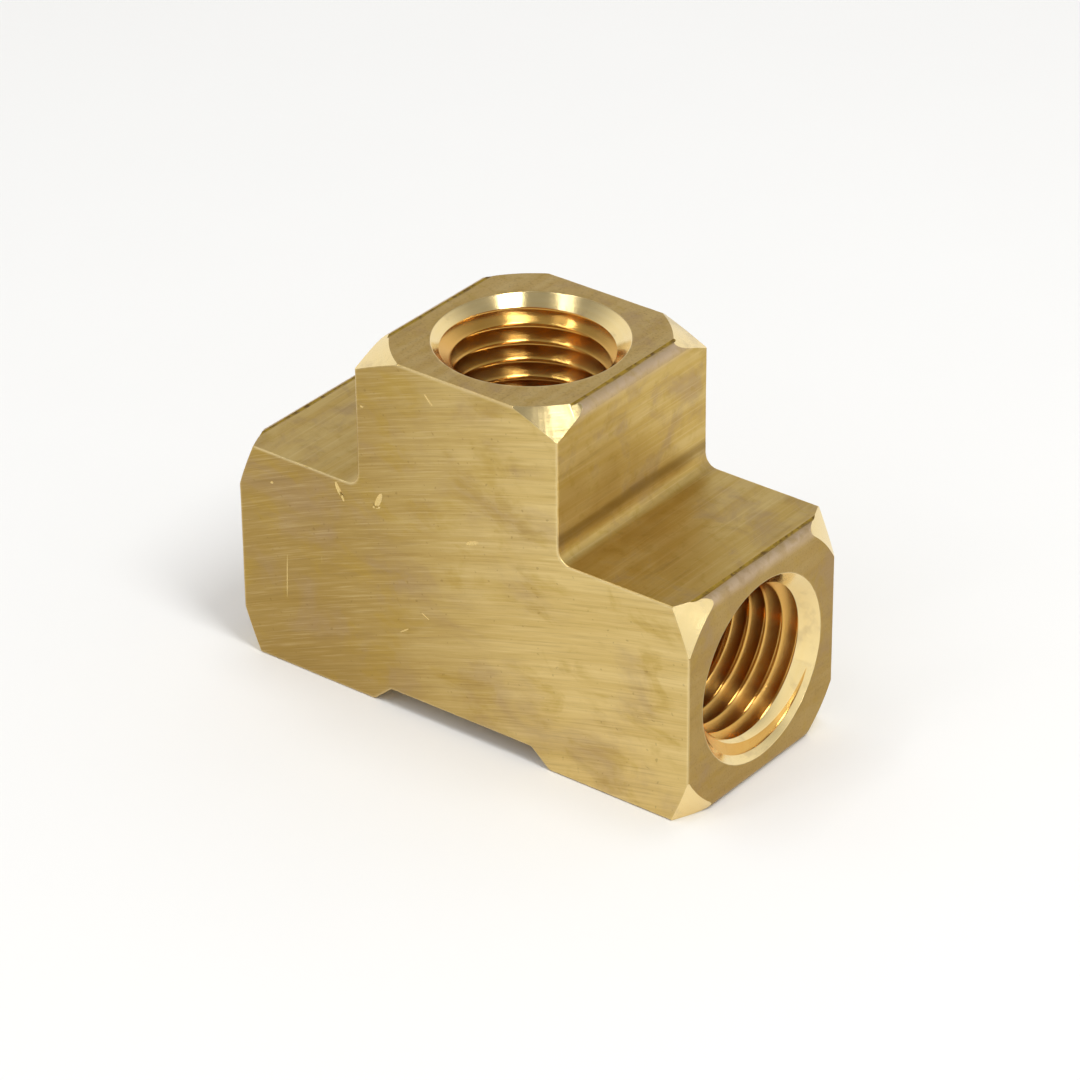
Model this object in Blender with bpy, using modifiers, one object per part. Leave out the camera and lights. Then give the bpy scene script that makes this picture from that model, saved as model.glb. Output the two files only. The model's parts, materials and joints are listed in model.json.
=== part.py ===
"""Brass pipe tee with three female taper-threaded ports, cut from an extruded T-shaped bar.

The run lies along X and the branch stands up along Z. The origin is the middle of the base, under the
point where the three port axes meet. The bar is extruded along Y, so its profile is in the XZ plane.
All sizes are in metres.
"""

import math

import bmesh
import bpy
from mathutils import Vector

# Extruded bar
RUN_LENGTH = 0.0406
RUN_HEIGHT = 0.01746
BRANCH_WIDTH = 0.0180
BRANCH_REACH = 0.0198  # from the run's axis to the branch's face
BAR_THICKNESS = 0.01746
OUTER_RADIUS = 0.0008
INNER_RADIUS = 0.0010

# Shallow recess along the middle of the base, which leaves a foot under each end of the run
RECESS_MOUTH = 0.0160
RECESS_FLOOR = 0.0128
RECESS_DEPTH = 0.00135
RECESS_RADIUS = 0.0005

# Taper pipe thread, 1/4 inch size: 18 turns to the inch, 1 in 16 on the diameter
PITCH = 0.0254 / 18
TAPER_ON_RADIUS = 1 / 32
PITCH_DIAMETER = 0.012487  # at the port's face
FLANK_ANGLE = math.radians(60)  # between the two flanks
FLAT_SHARE = 0.08  # crest flat and root flat, as a share of the pitch
FULL_THREAD_DEPTH = 0.0100
FADE_TURNS = 1.5  # thread that the tap's lead leaves incomplete
TAP_DRILL_UNDERSIZE = 0.001377  # the tap drill is this much smaller than the pitch diameter
BRANCH_THREAD_START = math.radians(56.25)  # how far each tap is turned about its own axis
RIGHT_THREAD_START = math.radians(146.25)
LEFT_THREAD_START = math.radians(22.5)

# Tools that finish each port's mouth
COUNTERSINK_OVERSIZE = 0.001713  # the countersink is this much wider than the pitch diameter
COUNTERSINK_ANGLE = math.radians(90)
CORNER_CIRCLE_OVERSIZE = 0.00254  # the circle inside the chamfers is this much wider than the bar
CORNER_CHAMFER_ANGLE = math.radians(33)  # from the port's face

# How finely round shapes are cut into facets
ARC_STEPS = 4
ROUND_STEPS = 32
OVERRUN = 0.001  # how far a cutter runs past the surface it cuts

TAP_DRILL_DIAMETER = PITCH_DIAMETER - TAP_DRILL_UNDERSIZE
COUNTERSINK_DIAMETER = PITCH_DIAMETER + COUNTERSINK_OVERSIZE
CORNER_CIRCLE_DIAMETER = BAR_THICKNESS + CORNER_CIRCLE_OVERSIZE
RUN_AXIS_HEIGHT = RUN_HEIGHT / 2
BRANCH_TOP = RUN_AXIS_HEIGHT + BRANCH_REACH

BRASS = (0.79, 0.60, 0.30, 1.0)


def clear_scene():
    for obj in list(bpy.data.objects):
        bpy.data.objects.remove(obj)


def new_collection(name):
    collection = bpy.data.collections.new(name)
    bpy.context.scene.collection.children.link(collection)
    return collection


def brass_material():
    material = bpy.data.materials.new("brass")
    material.use_nodes = True
    shader = material.node_tree.nodes["Principled BSDF"]
    shader.inputs["Base Color"].default_value = BRASS
    shader.inputs["Metallic"].default_value = 1.0
    shader.inputs["Roughness"].default_value = 0.35
    return material


def object_from_bmesh(name, shape, collection):
    mesh = bpy.data.meshes.new(name)
    shape.to_mesh(mesh)
    shape.free()
    obj = bpy.data.objects.new(name, mesh)
    collection.objects.link(obj)
    return obj


def rounded_corner(before, corner, after, radius):
    """Points of the arc that rounds the corner between two straight sides."""
    here = Vector(corner)
    back = (Vector(before) - here).normalized()
    ahead = (Vector(after) - here).normalized()
    half = back.angle(ahead) / 2
    centre = here + (back + ahead).normalized() * (radius / math.sin(half))
    start = here + back * (radius / math.tan(half)) - centre
    end = here + ahead * (radius / math.tan(half)) - centre
    turn = start.angle_signed(end)
    return [
        centre + Vector((
            start.x * math.cos(angle) + start.y * math.sin(angle),
            start.y * math.cos(angle) - start.x * math.sin(angle),
        ))
        for angle in (turn * step / ARC_STEPS for step in range(ARC_STEPS + 1))
    ]


def bar_profile():
    """The bar's rounded outline in (x, z), anticlockwise from the recess."""
    right = [
        (RECESS_FLOOR / 2, RECESS_DEPTH, RECESS_RADIUS),
        (RECESS_MOUTH / 2, 0, RECESS_RADIUS),
        (RUN_LENGTH / 2, 0, OUTER_RADIUS),
        (RUN_LENGTH / 2, RUN_HEIGHT, OUTER_RADIUS),
        (BRANCH_WIDTH / 2, RUN_HEIGHT, INNER_RADIUS),
        (BRANCH_WIDTH / 2, BRANCH_TOP, OUTER_RADIUS),
    ]
    corners = right + [(-x, z, radius) for x, z, radius in reversed(right)]
    points = []
    for index, (x, z, radius) in enumerate(corners):
        before = corners[index - 1][:2]
        after = corners[(index + 1) % len(corners)][:2]
        points += rounded_corner(before, (x, z), after, radius)
    return points


def extruded_bar(collection):
    """The bar's profile as a flat curve, extruded to the bar's thickness and made a mesh."""
    outline = bpy.data.curves.new("bar_outline", "CURVE")
    outline.dimensions = "2D"
    outline.fill_mode = "BOTH"
    outline.extrude = BAR_THICKNESS / 2
    points = bar_profile()
    spline = outline.splines.new("POLY")
    spline.points.add(len(points) - 1)
    for spline_point, (x, z) in zip(spline.points, points):
        spline_point.co = (x, z, 0, 1)
    spline.use_cyclic_u = True
    curve = bpy.data.objects.new("bar_outline", outline)
    curve.rotation_euler = (math.pi / 2, 0, 0)
    collection.objects.link(curve)
    bpy.context.view_layer.update()

    graph = bpy.context.evaluated_depsgraph_get()
    mesh = bpy.data.meshes.new_from_object(curve.evaluated_get(graph))
    shape = bmesh.new()
    shape.from_mesh(mesh)
    bmesh.ops.remove_doubles(shape, verts=shape.verts, dist=1e-6)
    bmesh.ops.recalc_face_normals(shape, faces=shape.faces)
    shape.to_mesh(mesh)
    shape.free()
    body = bpy.data.objects.new("tee_body", mesh)
    body.matrix_world = curve.matrix_world
    collection.objects.link(body)
    bpy.data.objects.remove(curve)
    return body


def tap_drill(name, length, collection):
    """The plain hole that is drilled before tapping. It runs down from the drill's origin."""
    shape = bmesh.new()
    bmesh.ops.create_cone(
        shape,
        cap_ends=True,
        segments=ROUND_STEPS,
        radius1=TAP_DRILL_DIAMETER / 2,
        radius2=TAP_DRILL_DIAMETER / 2,
        depth=length,
    )
    bmesh.ops.translate(shape, verts=shape.verts, vec=(0, 0, -length / 2))
    return object_from_bmesh(name, shape, collection)


def countersink(name, collection):
    """The cone that opens the mouth, its large end OVERRUN above the face."""
    slope = math.tan(COUNTERSINK_ANGLE / 2)
    wide = COUNTERSINK_DIAMETER / 2 + OVERRUN * slope
    narrow = TAP_DRILL_DIAMETER / 4
    length = (wide - narrow) / slope
    shape = bmesh.new()
    bmesh.ops.create_cone(
        shape,
        cap_ends=True,
        segments=ROUND_STEPS,
        radius1=narrow,
        radius2=wide,
        depth=length,
    )
    bmesh.ops.translate(shape, verts=shape.verts, vec=(0, 0, OVERRUN - length / 2))
    return object_from_bmesh(name, shape, collection)


def corner_tool(name, collection):
    """A turned ring with a cone inside, which takes the four corners off a port's end."""
    slope = math.tan(CORNER_CHAMFER_ANGLE)
    inner = CORNER_CIRCLE_DIAMETER / 2 - OVERRUN / slope
    outer = math.hypot(max(RUN_HEIGHT, BRANCH_WIDTH), BAR_THICKNESS) / 2 + OVERRUN
    lowest = -(outer - CORNER_CIRCLE_DIAMETER / 2) * slope
    shape = bmesh.new()
    corners = [shape.verts.new(co) for co in ((outer, 0, OVERRUN), (outer, 0, lowest), (inner, 0, OVERRUN))]
    for index, corner in enumerate(corners):
        shape.edges.new((corner, corners[(index + 1) % len(corners)]))
    ring = object_from_bmesh(name, shape, collection)
    turn = ring.modifiers.new("turn", "SCREW")
    turn.axis = "Z"
    turn.steps = ROUND_STEPS
    turn.render_steps = ROUND_STEPS
    turn.use_merge_vertices = True
    turn.merge_threshold = 1e-6
    return ring


def thread_radius(depth, share):
    """Radius that the tap cuts at a depth under the face, share of a pitch away from its groove's middle."""
    flank_slope = math.tan(FLANK_ANGLE / 2)
    height = (0.5 - FLAT_SHARE) * PITCH / flank_slope
    past_root_flat = max(0.0, abs(share) - FLAT_SHARE / 2) * PITCH
    above_crest = max(0.0, height - past_root_flat / flank_slope)
    lead = FADE_TURNS * PITCH
    fade = min(1.0, max(0.0, (FULL_THREAD_DEPTH + lead - depth) / lead))
    crest = (PITCH_DIAMETER - height) / 2 - depth * TAPER_ON_RADIUS
    return max(crest + above_crest * fade, TAP_DRILL_DIAMETER / 2 - OVERRUN)


def thread_tap(name, collection):
    """A right-hand tapered screw, made of ribbons between the helical edges of its root and crest flats.

    Each edge climbs one pitch a turn, so the last edge of one turn meets the first edge of the next.
    """
    flat_edge = FLAT_SHARE / 2
    first_turn = -math.ceil((FULL_THREAD_DEPTH + FADE_TURNS * PITCH) / PITCH) - 1
    steps = (math.ceil(OVERRUN / PITCH) + 1 - first_turn) * ROUND_STEPS
    shape = bmesh.new()
    edges = []
    for share in (-flat_edge, flat_edge, 0.5 - flat_edge, 0.5 + flat_edge):
        edge = []
        for step in range(steps + 1):
            angle = 2 * math.pi * step / ROUND_STEPS
            height = PITCH * (first_turn + share + step / ROUND_STEPS)
            radius = thread_radius(-height, share - round(share))
            edge.append(shape.verts.new((radius * math.cos(angle), radius * math.sin(angle), height)))
        edges.append(edge)

    for low, high in zip(edges, edges[1:] + [edges[0][ROUND_STEPS:]]):
        for corners in zip(low, low[1:], high[1:], high):
            shape.faces.new(corners)

    first_loop = edges[0][: ROUND_STEPS + 1] + [edge[0] for edge in reversed(edges[1:])]
    last_loop = edges[-1][-ROUND_STEPS - 1 :] + [edge[-1] for edge in reversed(edges[:-1])]
    for loop in (first_loop, last_loop):
        middle = shape.verts.new((0, 0, sum(vertex.co.z for vertex in loop) / len(loop)))
        for here, ahead in zip(loop, loop[1:] + loop[:1]):
            shape.faces.new((here, ahead, middle))
    bmesh.ops.recalc_face_normals(shape, faces=shape.faces)
    return object_from_bmesh(name, shape, collection)


def place(tool, origin, tilt, spin=0):
    """Turns a tool about its own axis, tilts it about Y to point out of its port, and puts it in place."""
    tool.rotation_mode = "ZYX"
    tool.rotation_euler = (0, tilt, spin)
    tool.location = origin


def place_port_tools(port, face_centre, tilt, thread_start, collection):
    place(countersink(f"{port}_countersink", collection), face_centre, tilt)
    place(corner_tool(f"{port}_corner_tool", collection), face_centre, tilt)
    place(thread_tap(f"{port}_thread_tap", collection), face_centre, tilt, thread_start)


def cut_with(tools, body):
    """Takes every tool of the collection out of the body in one cut, and splits its faces into even facets."""
    for tool in tools.objects:
        tool.hide_render = True
        tool.display_type = "WIRE"
    cuts = body.modifiers.new("cuts", "BOOLEAN")
    cuts.operation = "DIFFERENCE"
    cuts.solver = "EXACT"
    cuts.operand_type = "COLLECTION"
    cuts.collection = tools
    facets = body.modifiers.new("facets", "TRIANGULATE")
    facets.ngon_method = "BEAUTY"


def main():
    clear_scene()
    tee = new_collection("brass_pipe_tee")
    tools = new_collection("cutting_tools")
    body = extruded_bar(tee)
    body.data.materials.append(brass_material())

    half_run = RUN_LENGTH / 2
    to_right = math.pi / 2
    run_drill = tap_drill("run_drill", RUN_LENGTH + 2 * OVERRUN, tools)
    branch_drill = tap_drill("branch_drill", BRANCH_REACH + OVERRUN, tools)
    place(run_drill, (half_run + OVERRUN, 0, RUN_AXIS_HEIGHT), to_right)
    place(branch_drill, (0, 0, BRANCH_TOP + OVERRUN), 0)
    place_port_tools("right", (half_run, 0, RUN_AXIS_HEIGHT), to_right, RIGHT_THREAD_START, tools)
    place_port_tools("left", (-half_run, 0, RUN_AXIS_HEIGHT), -to_right, LEFT_THREAD_START, tools)
    place_port_tools("branch", (0, 0, BRANCH_TOP), 0, BRANCH_THREAD_START, tools)
    cut_with(tools, body)


main()
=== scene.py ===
"""Brass pipe tee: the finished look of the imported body, cut from an extruded bar.

The run lies along X, the branch stands up along Z and the bar's thickness is along Y. All sizes
are in metres, in the part's own frame.
"""

import json
import math

import bpy
import numpy as np
from bpy.props import FloatProperty, FloatVectorProperty, IntProperty, PointerProperty
from mathutils import Matrix, Vector


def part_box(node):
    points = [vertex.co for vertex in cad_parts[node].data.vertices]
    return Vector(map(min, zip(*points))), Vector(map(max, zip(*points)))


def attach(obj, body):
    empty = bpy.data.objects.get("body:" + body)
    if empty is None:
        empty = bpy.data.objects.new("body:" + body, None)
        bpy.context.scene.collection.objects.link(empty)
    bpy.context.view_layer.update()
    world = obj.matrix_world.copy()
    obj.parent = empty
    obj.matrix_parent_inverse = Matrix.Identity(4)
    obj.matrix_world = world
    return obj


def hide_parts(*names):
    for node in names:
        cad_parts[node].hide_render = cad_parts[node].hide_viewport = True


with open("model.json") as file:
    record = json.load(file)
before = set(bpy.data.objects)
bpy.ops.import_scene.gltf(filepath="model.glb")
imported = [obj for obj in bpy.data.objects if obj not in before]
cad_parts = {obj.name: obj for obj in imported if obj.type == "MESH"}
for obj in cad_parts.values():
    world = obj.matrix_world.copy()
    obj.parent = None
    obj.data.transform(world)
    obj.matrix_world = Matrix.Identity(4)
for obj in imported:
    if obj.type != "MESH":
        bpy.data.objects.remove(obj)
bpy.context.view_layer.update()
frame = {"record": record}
NODE = "tee_body"
BODY_LOW, BODY_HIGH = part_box(NODE)

bl_info = {
    "name": "Brass Pipe Tee",
    "version": (1, 0, 0),
    "blender": (4, 5, 0),
    "location": "3D View > Sidebar > Brass Tee",
    "description": "Makes a sawn, drilled and tapped brass pipe tee on its packed frame",
    "category": "Add Mesh",
}

MOUNTS = {mount["name"]: mount["pos_m"] for mount in frame["record"]["mounts"]}
RUN_AXIS_HEIGHT = MOUNTS["wrench_flat_front"][2]


# ---- sizes


def number(name, default, description, **more):
    return FloatProperty(name=name, description=description, default=default, **more)


def length(name, default, description):
    return number(name, default, description, min=0, unit="LENGTH", precision=5)


def shift(name, default, description):
    return number(name, default, description, unit="LENGTH", precision=6)


def power(name, default, description):
    return number(name, default, description, min=0, subtype="POWER")


def angle(name, degrees, description):
    return number(name, math.radians(degrees), description, unit="ROTATION")


def share(name, default, description):
    return number(name, default, description, min=0, soft_max=1, subtype="FACTOR")


def colour(name, default, description):
    return FloatVectorProperty(
        name=name, description=description, default=default, size=3, min=0, max=1, subtype="COLOR"
    )


class BarSizes(bpy.types.PropertyGroup):
    """The extruded bar and the length sawn from it"""

    run_length: length("Run length", BODY_HIGH.x - BODY_LOW.x, "Face to face along the run")
    run_height: length("Run height", 2 * RUN_AXIS_HEIGHT, "Height of the run's arms")
    thickness: length("Bar thickness", BODY_HIGH.y - BODY_LOW.y, "Distance between the sawn flats")
    branch_width: length("Branch width", 0.0180, "Width of the branch along the run")
    height: length("Height", BODY_HIGH.z - BODY_LOW.z, "From the feet to the branch's face")
    outer_radius: length("Outer radius", 0.0008, "Rounding of the bar's outer corners")
    inner_radius: length("Inner radius", 0.0010, "Rounding of the two inner corners")
    recess_mouth: length("Recess mouth", 0.0160, "Width of the base's recess at the feet")
    recess_floor: length("Recess floor", 0.0128, "Width of the base's recess at its floor")
    recess_depth: length("Recess depth", 0.00135, "Depth of the base's recess")
    recess_radius: length("Recess radius", 0.0005, "Rounding of the recess's corners")
    edge_break: length("Sawn edge", 0.00016, "Mean rounding of the edges that the saw left")


class PortSizes(bpy.types.PropertyGroup):
    """The tapered pipe thread, its drill, countersink and corner chamfers"""

    pitch: length("Pitch", 0.0254 / 18, "Distance between two threads")
    taper: number("Taper", 1 / 32, "Slope of the thread's side")
    pitch_diameter: length("Pitch diameter", 0.012487, "At the port's face")
    flank_angle: angle("Flank angle", 60, "Angle between the thread's two flanks")
    flat_share: share("Flats", 0.08, "Crest flat and root flat, as a share of the pitch")
    full_depth: length("Full thread", 0.0100, "Depth of the complete thread")
    fade_turns: number("Fade", 1.5, "Turns left incomplete")
    drill_undersize: length("Drill undersize", 0.001377, "Pitch diameter less the tap drill")
    sink_oversize: length("Countersink oversize", 0.001713, "Countersink less the pitch diameter")
    sink_angle: angle("Countersink", 90, "Full angle of the countersink")
    corner_oversize: length("Corner oversize", 0.00254, "Circle in the chamfers less the bar")
    corner_angle: angle("Corner chamfer", 33, "Slope of the corner chamfers from the port's face")
    rim_break: length("Rim", 0.00010, "Rounding of the countersink's rim")
    branch_start: angle("Branch thread start", 56.25, "Turn of the branch's tap")
    right_start: angle("Right thread start", 146.25, "Turn of the right port's tap")
    left_start: angle("Left thread start", 22.5, "Turn of the left port's tap")
    columns: IntProperty(
        name="Columns", description="Facets round a port", default=160, min=24, subtype="UNSIGNED"
    )


# ---- mesh from numpy


def closed_mesh(name, points, faces, *materials):
    """A mesh of triangles, with points at one place joined and faces of no area left out."""
    _, first, index = np.unique(
        np.round(points / 1e-8).astype(np.int64), axis=0, return_index=True, return_inverse=True
    )
    faces = index.reshape(-1)[faces]
    faces = faces[(faces != np.roll(faces, 1, axis=1)).all(axis=1)]
    mesh = bpy.data.meshes.new(name)
    mesh.vertices.add(len(first))
    mesh.vertices.foreach_set("co", points[first].astype(np.float32).ravel())
    mesh.loops.add(3 * len(faces))
    mesh.loops.foreach_set("vertex_index", faces.astype(np.int32).ravel())
    mesh.polygons.add(len(faces))
    mesh.polygons.foreach_set("loop_start", np.arange(0, 3 * len(faces), 3, dtype=np.int32))
    mesh.update(calc_edges=True)
    mesh.validate()
    for material in materials:
        mesh.materials.append(material)
    return mesh


def placed(name, data):
    """A new object in the scene, at the origin."""
    made = bpy.data.objects.new(name, data)
    bpy.context.scene.collection.objects.link(made)
    return made


def grid_faces(rows, columns, turned=False):
    """Two triangles for each cell of a grid whose points are stored row by row."""
    row, column = np.meshgrid(np.arange(rows - 1), np.arange(columns - 1), indexing="ij")
    a = (row * columns + column).ravel()
    b, c, d = a + 1, a + columns + 1, a + columns
    faces = np.concatenate([np.stack([a, b, c], 1), np.stack([a, c, d], 1)])
    return faces[:, ::-1] if turned else faces


def grids_mesh(name, grids, turned, material):
    """One mesh of several closed grids of the same size; grids holds (grid, row, column, xyz)."""
    count, rows, columns = grids.shape[:3]
    stride = np.arange(count)[:, None, None] * rows * columns
    faces = (grid_faces(rows, columns, turned) + stride).reshape(-1, 3)
    return closed_mesh(name, grids.reshape(-1, 3), faces, material)


def ripple(places, rng, waves, longest, shortest):
    """Uneven heights from 0 to 1 at places (n, m): a sum of sine waves in random directions."""
    directions = rng.normal(size=(waves, places.shape[1]))
    directions /= np.linalg.norm(directions, axis=1, keepdims=True)
    lengths = np.geomspace(longest, shortest, waves)
    phases = rng.uniform(0, 2 * np.pi, waves)
    strengths = lengths / lengths.sum()
    angles = places @ (directions * (2 * np.pi / lengths[:, None])).T + phases
    return 0.5 + 0.5 * (np.sin(angles) @ strengths)


# ---- the sawn blank

FACET = 0.0003  # spacing of points along the outline
ARC_POINTS = 7
FACE_RINGS = 30
SIDE_ROWS = 26
EDGE_ROWS = 4
FLAT_DIP = 0.000022  # how far the saw left the flats uneven
DRAWN_DIP = 0.000014  # how far the die left the sides uneven


def outline_corners(bar):
    """(x, z, radius) of the outline's corners, anticlockwise from the right end of the recess."""
    right = [
        (bar.recess_floor / 2, bar.recess_depth, bar.recess_radius),
        (bar.recess_mouth / 2, 0, bar.recess_radius),
        (bar.run_length / 2, 0, bar.outer_radius),
        (bar.run_length / 2, bar.run_height, bar.outer_radius),
        (bar.branch_width / 2, bar.run_height, bar.inner_radius),
        (bar.branch_width / 2, bar.height, bar.outer_radius),
    ]
    return np.array(right + [(-x, z, radius) for x, z, radius in reversed(right)])


def outline(bar):
    """Points of the rounded outline, and the outward normal at each.

    A corner's arc has its centre one radius to the inner side of the point where the side ends. Its
    points are that centre plus the start's offset, turned evenly from 0 to the angle between the
    two sides. Straight sides are divided evenly.
    """
    corners = outline_corners(bar)
    here = corners[:, :2]
    ahead = np.roll(here, -1, axis=0) - here
    ahead /= np.linalg.norm(ahead, axis=1, keepdims=True)
    behind = np.roll(ahead, 1, axis=0)
    turn = np.arctan2(
        behind[:, 0] * ahead[:, 1] - behind[:, 1] * ahead[:, 0], (behind * ahead).sum(axis=1)
    )
    tangent = corners[:, 2] * np.tan(np.abs(turn) / 2)
    starts = here - behind * tangent[:, None]
    ends = here + ahead * tangent[:, None]
    inward = np.stack([-behind[:, 1], behind[:, 0]], axis=1)
    points, normals = [], []
    for i in range(len(corners)):
        swing = turn[i] * np.linspace(0, 1, ARC_POINTS)
        cos, sin = np.cos(swing), np.sin(swing)
        nx, nz = -inward[i]
        turned = np.stack([nx * cos - nz * sin, nx * sin + nz * cos], axis=1)
        reach = corners[i, 2] * np.sign(turn[i])
        points.append(starts[i] + inward[i] * reach + turned * reach)
        normals.append(turned)
        following = starts[(i + 1) % len(corners)]
        gaps = max(1, round(np.linalg.norm(following - ends[i]) / FACET))
        along = np.linspace(0, 1, gaps + 1)[1:-1, None]
        points.append(ends[i] + (following - ends[i]) * along)
        normals.append(np.repeat(turned[-1:], len(along), axis=0))
    return np.concatenate(points), np.concatenate(normals)


def blank_mesh(bar, materials):
    """The T-shaped blank as one closed grid of rings, each a copy of the outline.

    From the middle of the front flat, the rings grow as a share of the outline, turn round the sawn
    edge as a quarter circle, cross the bar's thickness, and close on the back flat in the same way.
    The flats and sides then sink by a gentle ripple, so that nothing stands outside the sizes.
    """
    rng = np.random.default_rng(7)
    points, normals = outline(bar)
    half = bar.thickness / 2
    middle = np.array([0, RUN_AXIS_HEIGHT])
    edge = bar.edge_break * (0.45 + 1.1 * ripple(points, rng, 12, 0.02, 0.0012))[:, None]

    grown = (1 - (1 - np.linspace(0, 1, FACE_RINGS)) ** 1.5)[:, None, None]
    flat = middle + (points - edge * normals - middle) * grown
    quarter = np.linspace(0, np.pi / 2, EDGE_ROWS + 2)[1:-1, None, None]
    round_edge = points - edge * normals * (1 - np.sin(quarter))
    across = np.sin(np.linspace(-np.pi / 2, np.pi / 2, SIDE_ROWS))[:, None]
    sides = np.repeat(points[None], SIDE_ROWS, axis=0)

    flat_depth = np.full(flat.shape[:2], -half)
    round_depth = -half + (edge * (1 - np.cos(quarter)))[..., 0]
    side_depth = across * (half - edge[:, 0])
    outlines = np.concatenate([flat, round_edge, sides, round_edge[::-1], flat[::-1]])
    front, back = [flat_depth, round_depth], [-round_depth[::-1], -flat_depth[::-1]]
    depths = np.concatenate([*front, side_depth, *back])
    rows, columns = depths.shape

    dip = FLAT_DIP * ripple(outlines.reshape(-1, 2), rng, 10, 0.02, 0.003).reshape(rows, columns)
    drawn = DRAWN_DIP * ripple(points, rng, 16, 0.006, 0.0007)
    flatness = np.zeros(rows)
    flatness[:FACE_RINGS] = -1
    flatness[-FACE_RINGS:] = 1
    depths = depths - flatness[:, None] * dip
    on_side = np.zeros(rows)
    on_side[FACE_RINGS:-FACE_RINGS] = 1
    outlines = outlines - normals * (drawn[:, None] * on_side[:, None, None])

    grid = np.stack([outlines[..., 0], depths, outlines[..., 1]], axis=2)
    grid = np.concatenate([grid, grid[:, :1]], axis=1)
    faces = grid_faces(rows, columns + 1, turned=True)
    mesh = closed_mesh("blank", grid.reshape(-1, 3), faces, *materials)
    normal = np.empty(3 * len(mesh.polygons), np.float32)
    mesh.polygons.foreach_get("normal", normal)
    sawn = np.abs(normal.reshape(-1, 3)[:, 1]) > 0.8
    mesh.polygons.foreach_set("material_index", np.where(sawn, 0, 1).astype(np.int32))
    return mesh


# ---- the tools for the ports

DRILL_FACETS = 96


def turned_tool(name, profile, columns, material):
    """A closed turned tool: each (radius, height) of the profile, carried round the axis."""
    radius, height = np.array(profile, float).T
    around = np.linspace(0, 2 * np.pi, columns + 1)
    grid = np.stack(
        [
            radius[:, None] * np.cos(around),
            radius[:, None] * np.sin(around),
            np.repeat(height[:, None], columns + 1, axis=1),
        ],
        axis=2,
    )
    faces = grid_faces(len(radius), columns + 1)
    return closed_mesh(name, grid.reshape(-1, 3), faces, material)


def crest_radius(port, depth):
    """Half the pitch diameter less half a tooth, less the taper's share of the depth."""
    return (port.pitch_diameter - tooth_height(port)) / 2 - depth * port.taper


def tooth_height(port):
    """The height of a flank that falls over half a pitch less one flat."""
    return (0.5 - port.flat_share) * port.pitch / math.tan(port.flank_angle / 2)


TURN_ROWS = np.array([-0.48, -0.44, -0.39, -0.08, -0.045, 0.0, 0.045, 0.08, 0.39, 0.44, 0.48])
ROUNDING = np.linspace(-0.035, 0.035, 9)  # the thread's corners are rounded over this much


def groove(port, share):
    """The groove's form at a share of a pitch from its middle: 0 at the crest, 1 at the root.

    It is a trapezoid with one pitch between crests, averaged over a short window.
    """
    away = np.abs(share[..., None] + ROUNDING)
    away = np.minimum(away, 1 - away)
    half_flat = port.flat_share / 2
    return np.clip((0.5 - half_flat - away) / (0.5 - 2 * half_flat), 0, 1).mean(axis=-1)


def tap_mesh(name, port, material):
    """The tapered tap as a closed grid of rows that climb one pitch a turn.

    A point's height is pitch times (turn + row's share + angle / full turn), held between the
    tool's ends. Its radius is the crest's, which shrinks with depth by the taper, plus the tooth's
    height times the groove's form. Over the last turns the tooth fades away.
    """
    lead = port.fade_turns * port.pitch
    lowest = -port.full_depth - lead - port.pitch / 2
    highest = port.pitch * 0.9
    first = math.floor(lowest / port.pitch) - 2
    last = math.ceil(highest / port.pitch) + 1
    phases = (np.arange(first, last)[:, None] + TURN_ROWS).ravel()
    around = np.linspace(0, 1, port.columns + 1)
    heights = np.clip(port.pitch * (phases[:, None] + around), lowest, highest)
    phase = heights / port.pitch - around
    form = groove(port, phase - np.round(phase))
    fade = np.clip((port.full_depth + lead + heights) / lead, 0, 1)
    radius = crest_radius(port, -heights) + tooth_height(port) * form * fade
    swing = 2 * np.pi * around
    grid = np.stack([radius * np.cos(swing), radius * np.sin(swing), heights], axis=2)
    cap, lid = (np.zeros_like(grid[:1]) + (0, 0, z) for z in (lowest, highest))
    grid = np.concatenate([cap, grid, lid])
    faces = grid_faces(len(grid), port.columns + 1)
    return closed_mesh(name, grid.reshape(-1, 3), faces, material)


def corner_tool_mesh(name, bar, port, material):
    """A ring whose hollow cone takes the corners off a port's face, outside a circle.

    Its hollow side rises from a wide, low edge to a narrow, high one at the corner chamfer's slope.
    """
    circle = (bar.thickness + port.corner_oversize) / 2
    slope = math.tan(port.corner_angle)
    low, high, outer = -0.003, 0.001, 0.022  # the ring reaches past the body on every side
    profile = [
        (outer, low),
        (outer, high),
        (circle - high / slope, high),
        (circle - low / slope, low),
        (outer, low),
    ]
    return turned_tool(name, profile, port.columns, material)


def drill_mesh(name, port, material):
    """The tap drill: a cylinder from outside the face to just past the bores' meeting point."""
    radius = (port.pitch_diameter - port.drill_undersize) / 2
    tip, end = -0.0215, 0.003
    profile = [(0, tip), (radius, tip), (radius, end), (0, end)]
    return turned_tool(name, profile, DRILL_FACETS, material)


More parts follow.
